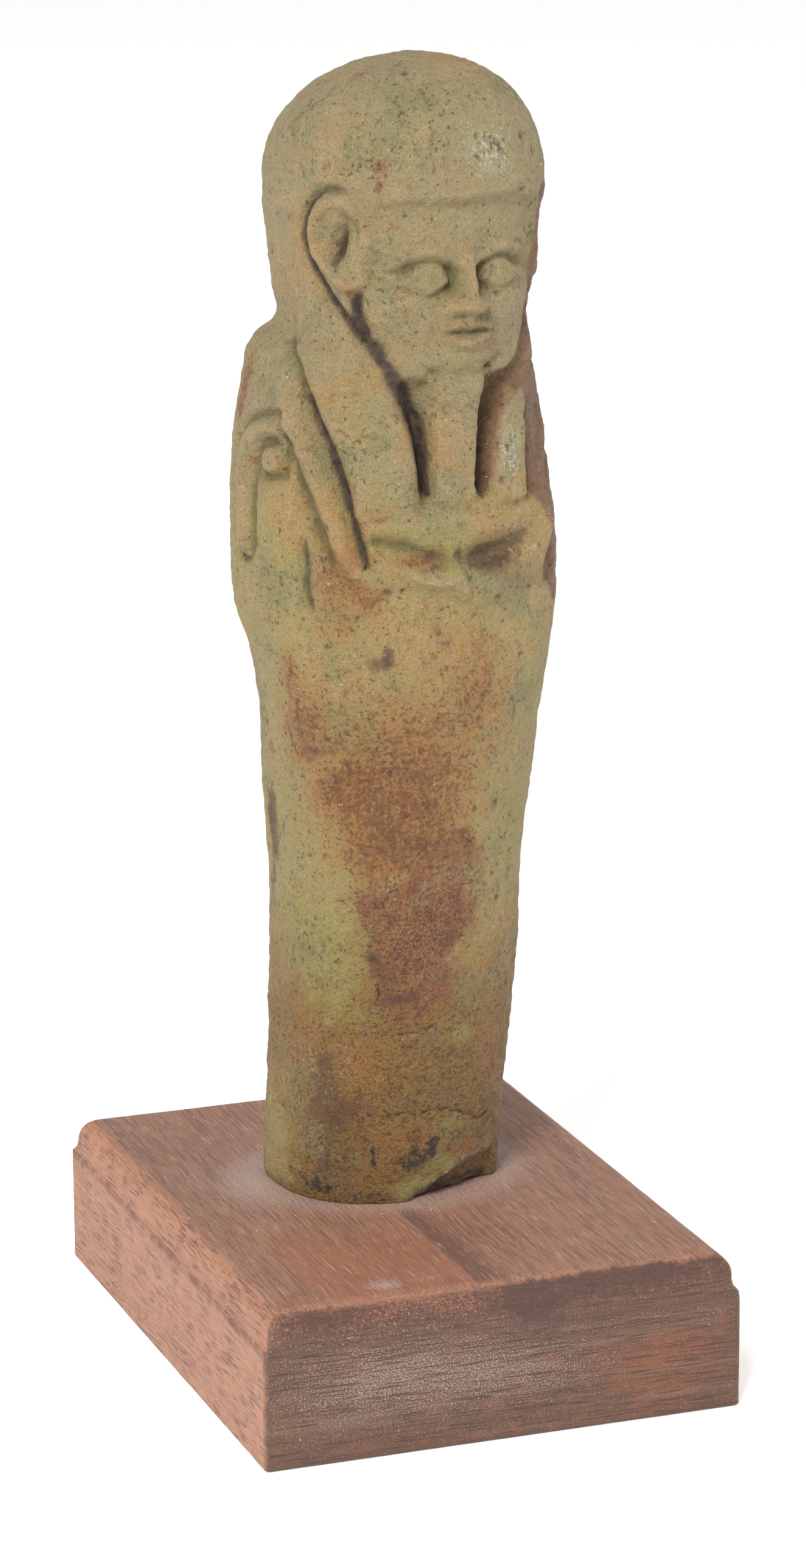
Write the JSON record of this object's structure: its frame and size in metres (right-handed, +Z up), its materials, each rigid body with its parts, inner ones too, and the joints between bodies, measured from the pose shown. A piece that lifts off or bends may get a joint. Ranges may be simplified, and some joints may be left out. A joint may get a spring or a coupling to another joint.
{
  "type": "faience ushabti on a wooden plinth",
  "caption": "Mummy-shaped faience funerary figure with crossed arms, wig and false beard, broken off at the shins, standing on a rectangular wooden plinth with a moulded top edge.",
  "frame": {"origin": "centre of the plinth's underside", "axes": "+Z up, +X towards the figure's left, the plinth's front face looks along -Y and the figure is turned 10 degrees from it towards +X"},
  "size_m": [0.05, 0.0654, 0.1323],
  "materials": {
    "plinth": "worn red-brown hardwood with open pores, thinly waxed",
    "ushabti": "weathered matt faience, tan with pale green and rust-red staining and fine pinholes"
  },
  "bodies": {
    "root": {"plinth": "plinth", "ushabti": "ushabti"}
  },
  "joints": []
}
